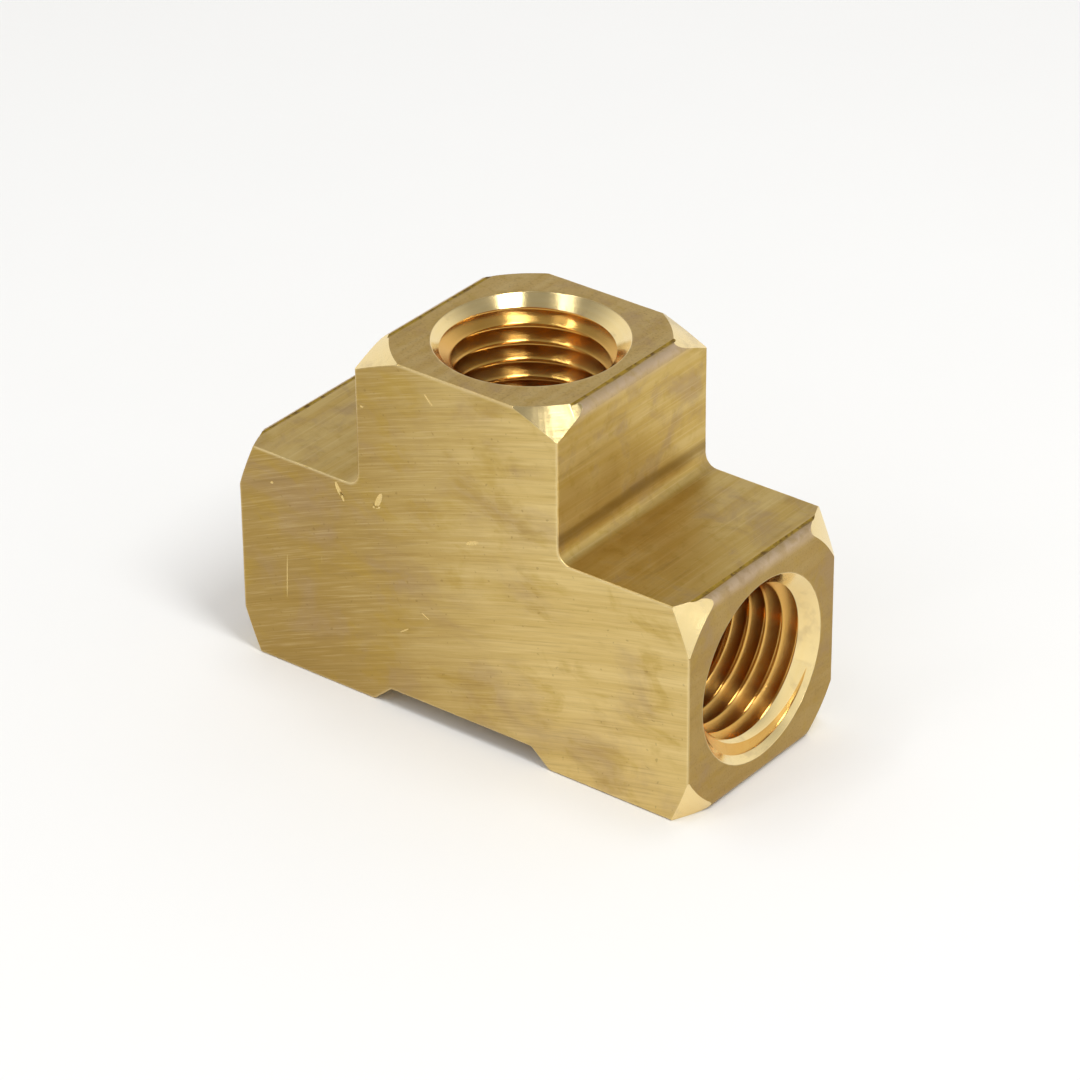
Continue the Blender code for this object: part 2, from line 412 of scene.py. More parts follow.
def countersink_mesh(name, port, material):
    """The countersink: a cone that bends outwards at the face, on an arc of the rim's radius."""
    rim = (port.pitch_diameter + port.sink_oversize) / 2
    slope = port.sink_angle / 2
    bend = np.linspace(0, 0.85, 5) * (np.pi / 2 - slope)
    setback = port.rim_break * math.tan((np.pi / 2 - slope) / 2)
    start = np.array([rim - setback * math.sin(slope), -setback * math.cos(slope)])
    across = np.array([math.cos(slope), -math.sin(slope)])
    along = np.array([math.sin(slope), math.cos(slope)])
    arc = start + port.rim_break * (
        np.sin(bend)[:, None] * along + (1 - np.cos(bend))[:, None] * across
    )
    last = math.sin(bend[-1]) * across + math.cos(bend[-1]) * along
    overshoot, deep = 0.0004, 0.0022  # how far the cone goes on past the rim, and into the bore
    above = arc[-1] + last * overshoot
    tip = start - along * (start[0] / math.sin(slope)) * 0.999
    profile = [(0, tip[1]), tuple(start - along * deep)] + [tuple(p) for p in arc]
    profile += [tuple(above), (0, above[1])]
    return turned_tool(name, profile, port.columns, material)


RAISED = 0.7  # how far a spindle is raised, as a share of its height
CAP = (1.1, 1.43, 0.3)  # length, width and depth of the cap that cuts, as shares of the halves


def nick_mesh(name, nicks, material):
    """Small dents, each the shallow cap that a raised spindle leaves in a surface.

    Along its length, from -1 to 1, a spindle's half width and height shrink as 1 - length squared.
    Round its section they follow an ellipse. Its middle is raised above the surface, so that only a
    cap of its height cuts. One row of nicks is (middle, direction, outward normal, length, width,
    depth).
    """
    middle, direction, normal = (np.array([nick[i] for nick in nicks], float) for i in range(3))
    size = np.array([nick[3:] for nick in nicks], float)
    direction /= np.linalg.norm(direction, axis=1, keepdims=True)
    normal /= np.linalg.norm(normal, axis=1, keepdims=True)
    beside = np.cross(normal, direction)
    half_length, half_width, height = (size / CAP).T
    middle = middle + normal * (RAISED * height)[:, None]
    along = np.linspace(-1, 1, 15)
    around = np.linspace(0, 2 * np.pi, 17)
    swell = 1 - along**2
    lengthwise = (half_length[:, None] * direction)[:, None, None] * along[:, None, None]
    wide = (swell[:, None] * np.cos(around))[..., None]
    high = (swell[:, None] * np.sin(around))[..., None]
    across = (half_width[:, None] * beside)[:, None, None] * wide
    upward = (height[:, None] * normal)[:, None, None] * high
    grid = middle[:, None, None] + lengthwise + across + upward
    return grids_mesh(name, grid, False, material)


DIE_WANDER = 0.00002  # how far a die line strays up and down
DIE_WAVES = 900  # in radians a metre


def upper_corners(bar):
    """(x, z) of the run's and the branch's upper corner, on the right."""
    return (bar.run_length / 2, bar.run_height), (bar.branch_width / 2, bar.height)


def die_line_mesh(bar, material):
    """Four shallow grooves along the thickness, where the upward faces start to round over.

    Each is a rod of one radius, parallel to Y, that wanders up and down as a sine wave. Its axis is
    above the face, so that a shallow share of it cuts. All four are one grid, shifted to their
    places.
    """
    radius, sunk = 0.00024, 0.00009
    reach = bar.thickness / 2 + 0.001
    back = bar.outer_radius * 0.95
    axes = np.array(
        [
            (side * (half - back), level + (radius - sunk))
            for side in (-1, 1)
            for half, level in upper_corners(bar)
        ]
    )
    around = np.linspace(0, 2 * np.pi, 25)
    along = np.linspace(-reach, reach, 40)
    swell = np.concatenate([[0.0], np.full(len(along), radius), [0.0]])
    along = np.concatenate([[-reach], along, [reach]])
    wander = DIE_WANDER * np.sin(along[:, None] * DIE_WAVES + np.arange(len(axes)) * 1.7)
    x = axes[:, 0, None, None] + swell[:, None] * np.cos(around)
    z = axes[:, 1, None, None] + wander.T[:, :, None] + swell[:, None] * np.sin(around)
    grid = np.stack([x, np.broadcast_to(along[:, None], x.shape), z], axis=3)
    return grids_mesh("die_lines", grid, True, material)


FRONT = (0, -1, 0)


def handling_nicks(bar):
    """Nicks that handling left on the front flat and on two of its edges, and a few on the back."""
    front, right, top = -bar.thickness / 2, bar.run_length / 2, bar.height
    on_front = [  # x, z, direction x and z, length, width and depth
        (-0.0108, 0.0166, -0.5, 1, 0.0013, 0.00045, 0.00009),
        (-0.0105, 0.0161, -0.5, 1, 0.0009, 0.00025, 0.00012),
        (-0.0071, 0.0169, 0.45, 1, 0.0017, 0.00050, 0.00008),
        (-0.0073, 0.0163, 1, 0.3, 0.0009, 0.00025, 0.00006),
        (0.0014, 0.0164, 0.9, 0.4, 0.0013, 0.00035, 0.00006),
        (-0.0023, 0.0266, -0.7, 0.7, 0.0012, 0.00020, 0.00004),
        (-0.0160, 0.0074, 0.045, 1, 0.0066, 0.00012, 0.00002),
        (-0.0126, 0.0102, 0.03, 1, 0.0026, 0.00009, 0.000015),
        (-0.0171, 0.0150, 1, 0.4, 0.00035, 0.0002, 0.00005),
        (-0.0084, 0.0241, 1, 0.2, 0.00040, 0.0002, 0.00005),
        (-0.0030, 0.0088, 1, -0.5, 0.0009, 0.00012, 0.00003),
        (-0.0050, 0.0069, 1, 0.7, 0.0012, 0.00012, 0.00003),
    ]
    seen = [((x, front, z), (dx, 0, dz), FRONT, *size) for x, z, dx, dz, *size in on_front]
    seen += [
        ((right, front + 0.0006, 0.0012), (0.2, 1, -0.1), (0.7, -0.6, -0.3))
        + (0.0022, 0.0005, 0.0002),
        ((0.0031, front, top), (1, 0.1, 0), (0, -0.7, 0.7), 0.0007, 0.0003, 0.00008),
        ((-0.0048, front, top), (1, -0.1, 0), (0, -0.7, 0.7), 0.0009, 0.0002, 0.00008),
        ((-0.0139, front, bar.run_height), (1, 0.1, 0), (0, -0.7, 0.7), 0.0008, 0.0003, 0.00008),
    ]
    rng = np.random.default_rng(31)
    places = rng.uniform((-0.017, 0.002), (0.017, 0.015), (9, 2))
    unseen = [
        (
            (x, -front, z),
            (math.cos(7000 * x), 0, math.sin(7000 * x)),
            (0, 1, 0),
            0.0007 + 0.03 * abs(x),
            0.0002,
            0.00007,
        )
        for x, z in places
    ]
    return seen + unseen


# ---- the one piece


def port_frames(bar, port):
    """(name, matrix that puts a tool in its port, thread start) for the three ports."""
    mid = RUN_AXIS_HEIGHT
    half = bar.run_length / 2
    across = Vector((0, 1, 0))
    ways = [
        ("branch", (0, 0, bar.height), Vector((1, 0, 0)), Vector((0, 0, 1)), port.branch_start),
        ("right", (half, 0, mid), Vector((0, 0, -1)), Vector((1, 0, 0)), port.right_start),
        ("left", (-half, 0, mid), Vector((0, 0, 1)), Vector((-1, 0, 0)), port.left_start),
    ]
    frames = []
    for name, origin, first, axis, start in ways:
        turn = Matrix((first, across, axis)).transposed().to_4x4()
        frames.append((name, Matrix.Translation(origin) @ turn, start))
    return frames


def port_tools(bar, port, finishes):
    """The four tools of each port, in place."""
    tools = []
    for name, matrix, start in port_frames(bar, port):
        arm = "branch" if name == "branch" else "run"
        turned, tapped = finishes["turned_" + arm], finishes["tapped_" + arm]
        tap = tap_mesh(name + "_tap", port, tapped)
        tap.transform(Matrix.Rotation(start, 4, "Z"))
        made = [
            tap,
            drill_mesh(name + "_drill", port, tapped),
            countersink_mesh(name + "_countersink", port, turned),
            corner_tool_mesh(name + "_corner_tool", bar, port, turned),
        ]
        for mesh in made:
            mesh.transform(matrix)
        tools += made
    return tools


def cut(blank, tools):
    """What is left of the blank; each cut face keeps its tool's finish."""
    shelf = bpy.data.collections.new("tools")
    bpy.context.scene.collection.children.link(shelf)
    holders = [bpy.data.objects.new(mesh.name, mesh) for mesh in tools]
    for holder in holders:
        shelf.objects.link(holder)
    work = placed("blank", blank)
    cutting = work.modifiers.new("cut", "BOOLEAN")
    cutting.operation = "DIFFERENCE"
    cutting.solver = "MANIFOLD"
    cutting.operand_type = "COLLECTION"
    cutting.collection = shelf
    cutting.material_mode = "TRANSFER"
    depsgraph = bpy.context.evaluated_depsgraph_get()
    result = bpy.data.meshes.new_from_object(work.evaluated_get(depsgraph), depsgraph=depsgraph)
    for holder in [work] + holders:
        mesh = holder.data
        bpy.data.objects.remove(holder)
        bpy.data.meshes.remove(mesh)
    bpy.data.collections.remove(shelf)
    return result


EDGE_REACH = 0.00030  # how far the wear and painted edge highlight spread from a sawn edge
RIM_REACH = 0.00018  # and from a turned one
RIM_WEAR_AND_HIGHLIGHT = 0.8
CHAMFER_WEAR_AND_HIGHLIGHT = 0.6
CHUNKS = 40  # distances to the outline are found in parts, to save memory


def edge_wear_and_highlight(points, bar, port):
    """The pale edge tint of each point, from 0 to 1, by its distance to the sawn edges and the
    rims: partly real wear, partly painted highlight.

    It falls off as e to the minus distance over reach. The distance to a sawn edge is the
    hypotenuse of the distance to the outline and to the flat.
    """
    around, _ = outline(bar)
    to_outline = np.empty(len(points))
    for part in np.array_split(np.arange(len(points)), CHUNKS):
        gaps = points[part][:, None, [0, 2]] - around[None]
        to_outline[part] = np.sqrt((gaps**2).sum(axis=2).min(axis=1))
    to_flat = bar.thickness / 2 - np.abs(points[:, 1])
    wear_and_highlight = np.exp(-np.hypot(to_outline, to_flat) / EDGE_REACH)
    rim = (port.pitch_diameter + port.sink_oversize) / 2
    circle = (bar.thickness + port.corner_oversize) / 2
    for _, matrix, _ in port_frames(bar, port):
        back = np.array(matrix.inverted())
        local = points @ back[:3, :3].T + back[:3, 3]
        radius = np.hypot(local[:, 0], local[:, 1])
        from_rim = np.hypot(radius - rim, local[:, 2])
        outward = (radius - circle) * math.sin(port.corner_angle)
        from_cone = np.abs(outward + local[:, 2] * math.cos(port.corner_angle))
        wear_and_highlight = np.maximum(wear_and_highlight, RIM_WEAR_AND_HIGHLIGHT * np.exp(-from_rim / RIM_REACH))
        near = (local[:, 2] > -0.004) & (radius > circle * 0.8)
        chamfer = CHAMFER_WEAR_AND_HIGHLIGHT * np.exp(-from_cone / RIM_REACH)
        wear_and_highlight = np.maximum(wear_and_highlight, np.where(near, chamfer, 0))
    return wear_and_highlight


def corner_rounding(points, bar):
    """1 on the rounded upper corners, falling off evenly with distance from inside each corner."""
    radius = bar.outer_radius
    corners = np.array(
        [
            (side * (half - 0.45 * radius), level - 0.45 * radius)
            for side in (-1, 1)
            for half, level in upper_corners(bar)
        ]
    )
    gaps = np.sqrt(((points[:, None, [0, 2]] - corners[None]) ** 2).sum(axis=2).min(axis=1))
    return np.clip(1.6 - gaps / (0.55 * radius), 0, 1)


def tee_body_mesh(bar, port, finishes):
    """The blank less its port tools, nicks and die lines, with its wear and painted edge highlight
    stored on its points.
    """
    blank = blank_mesh(bar, [finishes["sawn"], finishes["drawn"]])
    tools = port_tools(bar, port, finishes)
    tools.append(nick_mesh("nicks", handling_nicks(bar), finishes["nicked"]))
    # the die lines' cut faces take a painted shadow colour
    tools.append(die_line_mesh(bar, finishes["painted_groove_shade"]))
    mesh = cut(blank, tools)
    mesh.name = "tee_body_finished"
    if not mesh.polygons:
        raise RuntimeError("the tools left nothing of the blank")
    points = np.empty(3 * len(mesh.vertices), np.float32)
    mesh.vertices.foreach_get("co", points)
    points = points.reshape(-1, 3)
    wear_and_highlight = mesh.attributes.new("wear_and_edge_highlight", "FLOAT", "POINT")
    wear_and_highlight.data.foreach_set("value", edge_wear_and_highlight(points, bar, port).astype(np.float32))
    rounded = mesh.attributes.new("rounded", "FLOAT", "POINT")
    rounded.data.foreach_set("value", corner_rounding(points, bar).astype(np.float32))
    mesh.polygons.foreach_set("use_smooth", np.ones(len(mesh.polygons), bool))
    mesh.set_sharp_from_angle(angle=math.radians(26))
    mesh.update()
    return mesh


# ---- finishes


class Finishes(bpy.types.PropertyGroup):
    """Colours and roughnesses of the brass"""

    brass: colour("Brass", (0.63, 0.455, 0.16), "Sawn and drawn metal")
    light: colour("Lighter brass", (0.72, 0.545, 0.225), "Lighter bands on the sawn flats")
    drawn: colour("Drawn brass", (0.57, 0.385, 0.10), "Deeper bands on the drawn sides")
    # painted shade: darkens the flats' left ends and the run's end faces, standing in for the
    # dimmer light reflected there
    painted_shade: colour("Painted shade brass", (0.335, 0.205, 0.045), "The flats' darker left ends")
    # pale: pale lines in the grain, and the edge tint that is partly real wear, partly painted
    # highlight
    pale: colour("Worn brass and painted highlight", (0.88, 0.72, 0.40), "Metal that rubbing has brightened")
    bright: colour("Turned brass", (0.86, 0.65, 0.28), "Freshly turned metal")
    stain: colour("Stain", (0.43, 0.30, 0.175), "Pinkish grey marks that cutting fluid left")
    rubbed: colour("Rubbed edge", (0.62, 0.47, 0.31), "Pinkish metal on the bar's rounded edges")
    yellow: colour("Oiled patch", (0.46, 0.30, 0.045), "Yellow patches on the sawn flats")
    # deep and thread: darker, redder brass for the bores, partly painted shade standing in for
    # light bounced inside them
    deep: colour("Thread", (0.67, 0.35, 0.07), "Deeper metal in the threads")
    thread: colour("Lighter thread", (0.80, 0.51, 0.155), "Lighter metal in the threads")
    # dark: real dark streaks and specks, and also the painted shade in the die-line grooves and
    # above the inner corners
    dark: colour("Tarnish and painted shade", (0.20, 0.115, 0.03), "Dark streaks and specks")
    sawn_gloss: share("Sawn roughness", 0.40, "Roughness of the sawn flats")
    drawn_gloss: share("Drawn roughness", 0.44, "Roughness of the drawn sides")
    turned_gloss: share("Turned roughness", 0.15, "Roughness of the countersinks and chamfers")
    tapped_gloss: share("Tapped roughness", 0.23, "Roughness of the threads")


def add(tree, kind, sockets=(), **settings):
    """A node with its settings; a socket's value is a number, a colour or a node's output."""
    node = tree.nodes.new(kind)
    for key, value in settings.items():
        setattr(node, key, value)
    for socket, value in dict(sockets).items():
        if isinstance(value, bpy.types.NodeSocket):
            tree.links.new(value, node.inputs[socket])
        else:
            node.inputs[socket].default_value = value
    return node


def maths(tree, operation, first, second=0.0, third=0.0):
    sockets = {0: first, 1: second, 2: third}
    return add(tree, "ShaderNodeMath", sockets, operation=operation).outputs[0]


def between(tree, value, low, high, low_to=0.0, high_to=1.0):
    """Carries a value from one range to another, smoothly and held at its ends."""
    sockets = {"Value": value, "From Min": low, "From Max": high}
    sockets |= {"To Min": low_to, "To Max": high_to}
    return add(tree, "ShaderNodeMapRange", sockets, interpolation_type="SMOOTHSTEP").outputs[0]


def noise(tree, vector, scale, detail=3.0, roughness=0.55, distortion=0.0):
    sockets = {
        "Vector": vector,
        "Scale": scale,
        "Detail": detail,
        "Roughness": roughness,
        "Distortion": distortion,
    }
    return add(tree, "ShaderNodeTexNoise", sockets).outputs[0]


def tinted(tree, amount, below, above):
    """The colour below, with the colour above laid over it by an amount."""
    sockets = {0: amount, 6: below, 7: above}
    return add(tree, "ShaderNodeMix", sockets, data_type="RGBA").outputs[2]


def opaque(colour_value):
    return (*colour_value, 1.0)


def layered(tree, base, layers):
    """The base with colours laid over it; a layer is (colour, where it lies, at most)."""
    for colour_value, where, most in layers:
        base = tinted(tree, scaled(tree, where, most), base, opaque(colour_value))
    return base


def places(tree):
    """The point in metres on the object, as a vector and as its three numbers."""
    vector = add(tree, "ShaderNodeTexCoord").outputs["Object"]
    split = add(tree, "ShaderNodeSeparateXYZ", {0: vector})
    return vector, split.outputs[0], split.outputs[1], split.outputs[2]


def joined(tree, x, y, z=0.0):
    return add(tree, "ShaderNodeCombineXYZ", {0: x, 1: y, 2: z}).outputs[0]


def scaled(tree, value, by):
    return maths(tree, "MULTIPLY", value, by)


def drawn_out(tree, axes, detail, roughness):
    """Noise that is drawn out along its axes; each axis is (the value along it, its scale)."""
    point = joined(tree, *(scaled(tree, value, scale) for value, scale in axes))
    return noise(tree, point, 1.0, detail, roughness)


def started(name):
    """A new metal and its shader, whose colour, roughness and normal the finish then fills in."""
    material = bpy.data.materials.new(name)
    material.use_nodes = True
    tree = material.node_tree
    shader = tree.nodes["Principled BSDF"]
    shader.inputs["Metallic"].default_value = 1.0
    return material, tree, shader


def filled(tree, shader, base, roughness, heights, marks, streak):
    """Links colour and roughness, and stacks the bumps; a bump is (height, depth in metres).

    The marks' direction and the streak from 0 to 1 draw highlights out across the marks.
    """
    tree.links.new(marks, shader.inputs["Tangent"])
    shader.inputs["Anisotropic"].default_value = streak
    shader.inputs["Anisotropic Rotation"].default_value = 0.25
    tree.links.new(base, shader.inputs["Base Color"])
    tree.links.new(roughness, shader.inputs["Roughness"])
    normal = None
    for height, depth in heights:
        sockets = {"Height": height, "Distance": depth, "Strength": 1.0}
        if normal is not None:
            sockets["Normal"] = normal
        normal = add(tree, "ShaderNodeBump", sockets).outputs[0]
    tree.links.new(normal, shader.inputs["Normal"])


def wear_and_highlight_of(tree):
    return add(tree, "ShaderNodeAttribute", attribute_name="wear_and_edge_highlight").outputs["Fac"]


SAW_RISE, SAW_BOW = 0.33, 3.0


def sawn_brass(looks):
    """The two flats that the saw left: fine arcs, stains, oiled patches, and painted shade that
    darkens their left ends.

    A saw mark rises by 0.33 of x less 3 times x squared, in metres.
    """
    material, tree, shader = started("sawn_brass")
    vector, x, y, z = places(tree)
    slope = maths(tree, "MULTIPLY_ADD", x, -2 * SAW_BOW, SAW_RISE)
    rise = scaled(tree, x, maths(tree, "MULTIPLY_ADD", x, -SAW_BOW, SAW_RISE))
    bow = maths(tree, "SUBTRACT", z, rise)
    fine = drawn_out(tree, ((x, 260), (y, 300), (bow, 9000)), 2, 0.6)
    strands = drawn_out(tree, ((x, 150), (y, 200), (bow, 4600)), 3, 0.65)
    bands = drawn_out(tree, ((x, 60), (y, 100), (bow, 900)), 3, 0.55)
    grain = noise(tree, vector, 7000, 2, 0.6)
    cloud = noise(tree, joined(tree, x, y, scaled(tree, z, 1.5)), 115, 5, 0.58, 0.4)
    oil = noise(tree, joined(tree, x, y, scaled(tree, z, 1.6)), 210, 4, 0.6, 0.5)
    stains = between(tree, cloud, 0.48, 0.72)
    specks = between(tree, noise(tree, vector, 2300, 1, 0.5), 0.68, 0.76)
    uneven_x = maths(tree, "MULTIPLY_ADD", cloud, -0.012, x)
    wear_and_highlight = between(tree, wear_and_highlight_of(tree), 0.35, 1.0)
    base = tinted(tree, between(tree, bands, 0.3, 0.7), opaque(looks.brass), opaque(looks.light))
    layers = [
        # painted shade: the flats grow darker towards their left ends
        (looks.painted_shade, between(tree, uneven_x, -0.020, 0.006, 1.0, 0.0), 0.80),
        (looks.stain, stains, 0.50),
        (looks.yellow, between(tree, oil, 0.50, 0.66), 0.42),
        (looks.dark, between(tree, strands, 0.52, 0.74), 0.15),
        (looks.pale, between(tree, strands, 0.48, 0.28), 0.12),
        (looks.dark, between(tree, fine, 0.52, 0.72), 0.13),
        (looks.pale, between(tree, fine, 0.46, 0.30), 0.14),
        (looks.dark, specks, 0.30),
        # pale edge tint: partly real wear, partly painted highlight along the edges
        (looks.pale, wear_and_highlight, 0.60),
    ]
    base = layered(tree, base, layers)
    rough = between(tree, strands, 0.3, 0.7, looks.sawn_gloss - 0.05, looks.sawn_gloss + 0.07)
    rough = maths(tree, "MULTIPLY_ADD", stains, 0.08, rough)
    rough = maths(tree, "MULTIPLY_ADD", wear_and_highlight, -0.14, rough)
    bumps = [(bands, 0.000010), (strands, 0.0000045), (fine, 0.0000024), (grain, 0.0000014)]
    marks = joined(tree, 1, 0, slope)
    marks = add(tree, "ShaderNodeVectorMath", {0: marks}, operation="NORMALIZE").outputs[0]
    filled(tree, shader, base, rough, bumps, marks, 0.55)
    return material


PORT_FACE_X, PORT_FACE_Z = 0.0196, 0.0278  # a drawn side beyond one of these is a port's face
PAINTED_SHADE_BAND_Z = 0.0192  # height of the painted shade band along the branch's foot, just above the inner corner


def drawn_brass(looks):
    """The bar's drawn sides: die lines along the thickness, dark streaks, dull port faces, and
    painted shade on the run's end faces and above the inner corners.
    """
    material, tree, shader = started("drawn_brass")
    vector, x, y, z = places(tree)
    fine = drawn_out(tree, ((x, 6000), (y, 90), (z, 6000)), 2, 0.6)
    wide = drawn_out(tree, ((x, 900), (y, 40), (z, 900)), 3, 0.6)
    streaks = drawn_out(tree, ((x, 1100), (y, 130), (z, 1100)), 4, 0.62)
    cloud = noise(tree, vector, 260, 5, 0.62, 0.5)
    mottle = noise(tree, vector, 900, 4, 0.65, 0.4)
    grain = noise(tree, vector, 6500, 2, 0.6)
    end = maths(tree, "GREATER_THAN", maths(tree, "ABSOLUTE", x), PORT_FACE_X)
    port_face = maths(tree, "MAXIMUM", end, maths(tree, "GREATER_THAN", z, PORT_FACE_Z))
    lined = maths(tree, "MULTIPLY_ADD", port_face, -0.85, 1.0)
    lines = scaled(tree, maths(tree, "SUBTRACT", fine, 0.5), lined)
    lines = maths(tree, "ADD", lines, 0.5)
    # painted shade: a dark band along the branch's foot, just above the inner corner, wavering with
    # the streaks
    over = maths(tree, "ABSOLUTE", maths(tree, "SUBTRACT", z, PAINTED_SHADE_BAND_Z))
    over = maths(tree, "MULTIPLY_ADD", streaks, 0.0010, over)
    rounded = add(tree, "ShaderNodeAttribute", attribute_name="rounded").outputs["Fac"]
    wear_and_highlight = between(tree, wear_and_highlight_of(tree), 0.55, 1.0)
    base = tinted(tree, between(tree, wide, 0.35, 0.65), opaque(looks.drawn), opaque(looks.brass))
    layers = [
        (looks.stain, port_face, 0.24),
        # painted shade: the run's end faces darkened
        (looks.painted_shade, end, 0.50),
        (looks.dark, port_face, between(tree, grain, 0.5, 0.75, 0.0, 0.35)),
        (looks.dark, between(tree, streaks, 0.55, 0.75), 0.22),
        (looks.stain, between(tree, cloud, 0.48, 0.68), 0.50),
        (looks.yellow, between(tree, mottle, 0.50, 0.70), 0.35),
        (looks.pale, between(tree, lines, 0.46, 0.30), 0.14),
        # painted shade band above the inner corner
        (looks.dark, between(tree, over, 0.0006, 0.0013, 1.0, 0.0), 0.55),
        (looks.rubbed, rounded, between(tree, mottle, 0.3, 0.6, 0.45, 0.95)),
        # pale edge tint: partly real wear, partly painted highlight along the edges
        (looks.pale, wear_and_highlight, 0.7),
    ]
    base = layered(tree, base, layers)
    rough = between(tree, cloud, 0.35, 0.65, looks.drawn_gloss - 0.05, looks.drawn_gloss + 0.08)
    rough = maths(tree, "MULTIPLY_ADD", port_face, 0.08, rough)
    rough = maths(tree, "MULTIPLY_ADD", wear_and_highlight, -0.12, rough)
    bumps = [(wide, 0.000014), (lines, 0.000003), (mottle, 0.000010), (grain, 0.0000028)]
    filled(tree, shader, base, rough, bumps, joined(tree, 0, 1, 0), 0.68)
    return material


def reach_of(tree, first, second):
    """The hypotenuse of two values."""
    squared = scaled(tree, second, second)
    return maths(tree, "SQRT", maths(tree, "MULTIPLY_ADD", first, first, squared))


def round_port(tree, axis):
    """The point, its distance from a port's own axis and along it, and the direction round it.

    The axis is the branch's (Z) or the run's (X). The direction round it is the axis crossed with
    the point.
    """
    vector, x, y, z = places(tree)
    if axis == "Z":
        radius, along = reach_of(tree, x, y), z
        way = joined(tree, scaled(tree, y, -1), x, 0.0)
    else:
        up = maths(tree, "SUBTRACT", z, RUN_AXIS_HEIGHT)
        radius, along = reach_of(tree, up, y), x
        way = joined(tree, 0.0, scaled(tree, up, -1), y)
    way = add(tree, "ShaderNodeVectorMath", {0: way}, operation="NORMALIZE").outputs[0]
    return vector, radius, along, way


def turned_brass(looks, name, axis):
    """Countersinks and corner chamfers: bright, with fine rings round the port's axis."""
    material, tree, shader = started(name)
    vector, radius, along, way = round_port(tree, axis)
    rings = drawn_out(tree, ((radius, 9000), (along, 900)), 2, 0.55)
    coarse = drawn_out(tree, ((radius, 2600), (along, 500)), 1, 0.5)
    cloud = noise(tree, vector, 420, 4, 0.6, 0.4)
    layers = [
        (looks.pale, coarse, 0.6),
        (looks.stain, between(tree, cloud, 0.54, 0.72), 0.35),
        # pale rim tint: partly real wear, partly painted highlight on the rims
        (looks.pale, wear_and_highlight_of(tree), 0.3),
    ]
    base = layered(tree, opaque(looks.bright), layers)
    rough = between(tree, cloud, 0.3, 0.7, looks.turned_gloss - 0.03, looks.turned_gloss + 0.06)
    filled(tree, shader, base, rough, [(coarse, 0.000003), (rings, 0.0000015)], way, 0.6)
    return material


def tapped_brass(looks, name, axis):
    """Threads and bores: glossy, with marks round the axis, in a darker, redder colour that partly
    paints the inter-reflected shade inside the bores.
    """
    material, tree, shader = started(name)
    vector, radius, along, way = round_port(tree, axis)
    marks = drawn_out(tree, ((radius, 6000), (along, 6000)), 2, 0.55)
    torn = noise(tree, vector, 1700, 3, 0.6, 0.4)
    cloud = noise(tree, vector, 300, 3, 0.6, 0.3)
    # partly painted shade: the bores' darker, redder colour
    base = tinted(tree, cloud, opaque(looks.deep), opaque(looks.thread))
    base = layered(tree, base, [(looks.dark, between(tree, torn, 0.62, 0.85), 0.06)])
    rough = between(tree, cloud, 0.3, 0.7, looks.tapped_gloss - 0.03, looks.tapped_gloss + 0.04)
    filled(tree, shader, base, rough, [(marks, 0.0000020)], way, 0.94)
    return material


def nicked_brass(looks):
    """Fresh metal in the nicks."""
    material, tree, shader = started("nicked_brass")
    vector = places(tree)[0]
    grain = noise(tree, vector, 5000, 2, 0.6)
    base = tinted(tree, grain, opaque(looks.brass), opaque(looks.bright))
    rough = between(tree, grain, 0.3, 0.7, 0.20, 0.32)
    filled(tree, shader, base, rough, [(grain, 0.000003)], joined(tree, 0, 0, 1), 0.3)
    return material


def painted_groove_shade_brass(looks):
    """Painted shadow at the bottom of the die lines: dark metal flecked with yellow."""
    material, tree, shader = started("painted_groove_shade_brass")
    vector = places(tree)[0]
    grain = noise(tree, vector, 1600, 3, 0.6)
    base = tinted(tree, between(tree, grain, 0.30, 0.60), opaque(looks.dark), opaque(looks.yellow))
    rough = between(tree, grain, 0.3, 0.7, 0.34, 0.48)
    filled(tree, shader, base, rough, [(grain, 0.000004)], joined(tree, 0, 1, 0), 0.4)
    return material


def brass_finishes(looks):
    return {
        "sawn": sawn_brass(looks),
        "drawn": drawn_brass(looks),
        "turned_branch": turned_brass(looks, "turned_brass_branch", "Z"),
        "turned_run": turned_brass(looks, "turned_brass_run", "X"),
        "tapped_branch": tapped_brass(looks, "tapped_brass_branch", "Z"),
        "tapped_run": tapped_brass(looks, "tapped_brass_run", "X"),
        "nicked": nicked_brass(looks),
        "painted_groove_shade": painted_groove_shade_brass(looks),
    }


# ---- stage


class StageSizes(bpy.types.PropertyGroup):
    """The camera, the floor and the lights"""

    azimuth: angle("Camera azimuth", 37.99, "Turn of the camera from the front towards the right")
    elevation: angle("Camera elevation", 30.243, "Height of the camera as an angle")
    roll: angle("Camera roll", -0.545, "Tilt of the camera about its own axis")
    distance: length("Camera distance", 0.35504, "From the run's axis to the camera")
    across: shift("Across", 0.000463, "Shift of the camera to its right")
    upward: shift("Up", 0.002916, "Shift of the camera upwards")
    lens: number("Lens", 163.7, "Focal length in millimetres")
    floor: colour("Floor", (0.86, 0.855, 0.84), "Colour of the floor")
    surround: number("Surround", 1.0, "Brightness of the room near the floor")
    ceiling: number("Ceiling", 0.36, "Brightness of the room overhead")
    key: power("Key light", 1.75, "Power of the light on the right")
    fill: power("Strip lights", 0.22, "Power of each full strip light")
    top: power("Top light", 0.36, "Power of the light overhead")
    side: power("Side light", 0.08, "Power of the low light at the right")


def direction(azimuth, elevation):
    """Unit vector at an azimuth, turned from the front towards the right, and an elevation."""
    flat = math.cos(elevation)
    return Vector((math.sin(azimuth) * flat, -math.cos(azimuth) * flat, math.sin(elevation)))


